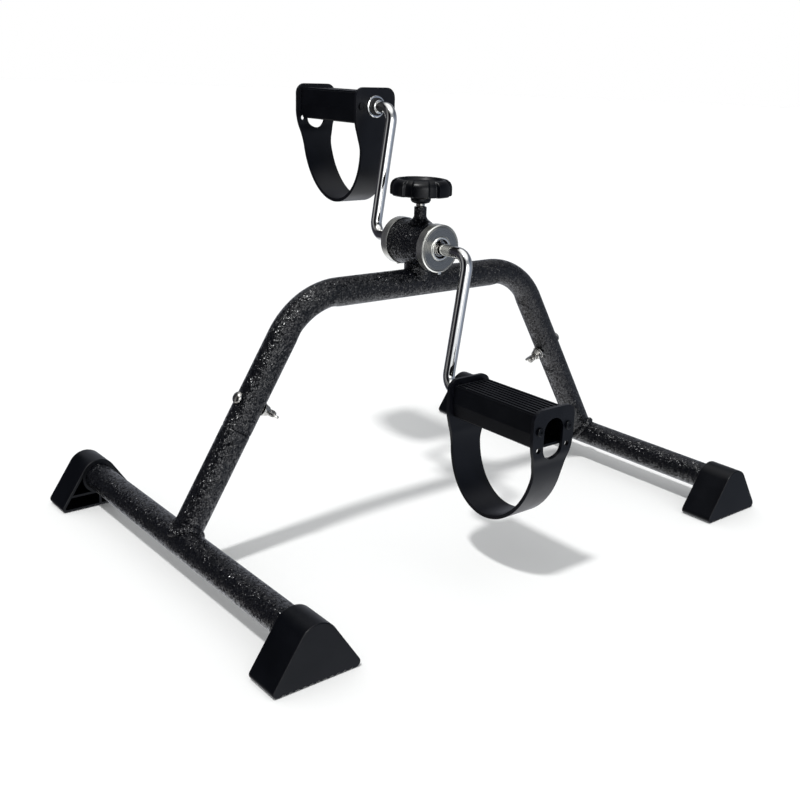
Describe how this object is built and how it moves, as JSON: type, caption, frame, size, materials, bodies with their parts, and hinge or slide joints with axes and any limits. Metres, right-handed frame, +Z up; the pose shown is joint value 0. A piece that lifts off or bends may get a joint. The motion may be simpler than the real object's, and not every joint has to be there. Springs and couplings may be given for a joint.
{
  "type": "pedal exerciser",
  "caption": "Pedal exerciser: a bolted arch of round steel tube on floor bars with wedge feet, a hub with a brake knob, and a bent rod crank with strapped pedals.",
  "frame": {"origin": "on the floor, midway between the feet, under the hub", "axes": "+Z up, +X along the floor bars and the crank's axis, +Y along the arch from one floor bar to the other"},
  "size_m": [0.384, 0.536, 0.372],
  "materials": {
    "hammered_paint": "hammered black powder coat",
    "moulded_plastic": "moulded black polypropylene",
    "strap_plastic": "soft black plastic",
    "chrome": "polished chrome plating",
    "zinc_steel": "zinc plated",
    "nylon": "black nylon"
  },
  "bodies": {
    "frame": {"arch_tube": "hammered_paint", "hub_stem": "hammered_paint", "hub_housing": "hammered_paint", "knob_boss": "hammered_paint", "near_hub_cap": "zinc_steel", "far_hub_cap": "zinc_steel", "near_hub_bush": "nylon", "far_hub_bush": "nylon", "left_upright": "hammered_paint", "left_floor_bar": "hammered_paint", "left_leg_weld": "hammered_paint", "left_frame_bolt": "zinc_steel", "left_near_foot": "moulded_plastic", "left_far_foot": "moulded_plastic", "right_upright": "hammered_paint", "right_floor_bar": "hammered_paint", "right_leg_weld": "hammered_paint", "right_frame_bolt": "zinc_steel", "right_near_foot": "moulded_plastic", "right_far_foot": "moulded_plastic"},
    "crank": {"crank": "chrome", "brake_sleeve": "zinc_steel", "near_retaining_ring": "zinc_steel", "far_retaining_ring": "zinc_steel", "near_push_nut": "zinc_steel", "far_push_nut": "zinc_steel"},
    "near_pedal": {"near_pedal_body": "moulded_plastic", "near_pedal_strap": "strap_plastic", "near_pedal_bearing": "nylon", "near_pedal_washer": "chrome", "near_thrust_ring": "nylon"},
    "far_pedal": {"far_pedal_body": "moulded_plastic", "far_pedal_strap": "strap_plastic", "far_pedal_bearing": "nylon", "far_pedal_washer": "chrome", "far_thrust_ring": "nylon"},
    "plug": {"brake_plug": "nylon"},
    "knob": {"brake_screw": "zinc_steel", "brake_knob": "moulded_plastic"},
    "left_washer": {"left_bolt_washer": "zinc_steel"},
    "left_nut": {"left_wing_nut": "zinc_steel"},
    "right_washer": {"right_bolt_washer": "zinc_steel"},
    "right_nut": {"right_wing_nut": "zinc_steel"}
  },
  "joints": [
    {"name": "crank_spin", "type": "hinge", "parent": "frame", "child": "crank", "pos_m": [0, 0, 0.2455], "axis": [1, 0, 0], "continuous": true},
    {"name": "near_pedal_spin", "type": "hinge", "parent": "crank", "child": "near_pedal", "pos_m": [0.1388, -0.01741, 0.13557], "axis": [1, 0, 0], "continuous": true},
    {"name": "far_pedal_spin", "type": "hinge", "parent": "crank", "child": "far_pedal", "pos_m": [-0.1388, 0.01741, 0.35543], "axis": [1, 0, 0], "continuous": true},
    {"name": "plug_travel", "type": "slide", "parent": "frame", "child": "plug", "axis": [0, 0, 1], "range_m": [-0.0005, 0.0025]},
    {"name": "knob_turn", "type": "hinge", "parent": "plug", "child": "knob", "pos_m": [0, 0, 0.2872], "axis": [0, 0, 1], "range_deg": [-144, 720]},
    {"name": "left_washer_slide", "type": "slide", "parent": "frame", "child": "left_washer", "axis": [0, 0.8536, -0.521], "range_m": [0, 0.005]},
    {"name": "left_nut_turn", "type": "hinge", "parent": "left_washer", "child": "left_nut", "pos_m": [0, -0.16996, 0.13128], "axis": [0, 0.8536, -0.521], "range_deg": [0, 1800]},
    {"name": "right_washer_slide", "type": "slide", "parent": "frame", "child": "right_washer", "axis": [0, -0.8536, -0.521], "range_m": [0, 0.005]},
    {"name": "right_nut_turn", "type": "hinge", "parent": "right_washer", "child": "right_nut", "pos_m": [0, 0.16996, 0.13128], "axis": [0, -0.8536, -0.521], "range_deg": [0, 1800]}
  ],
  "couplings": [
    {"joint": "knob_turn", "follows": "plug_travel", "rad_per_m": 5026.5},
    {"joint": "left_nut_turn", "follows": "left_washer_slide", "rad_per_m": 6283.1},
    {"joint": "right_nut_turn", "follows": "right_washer_slide", "rad_per_m": 6283.1}
  ]
}
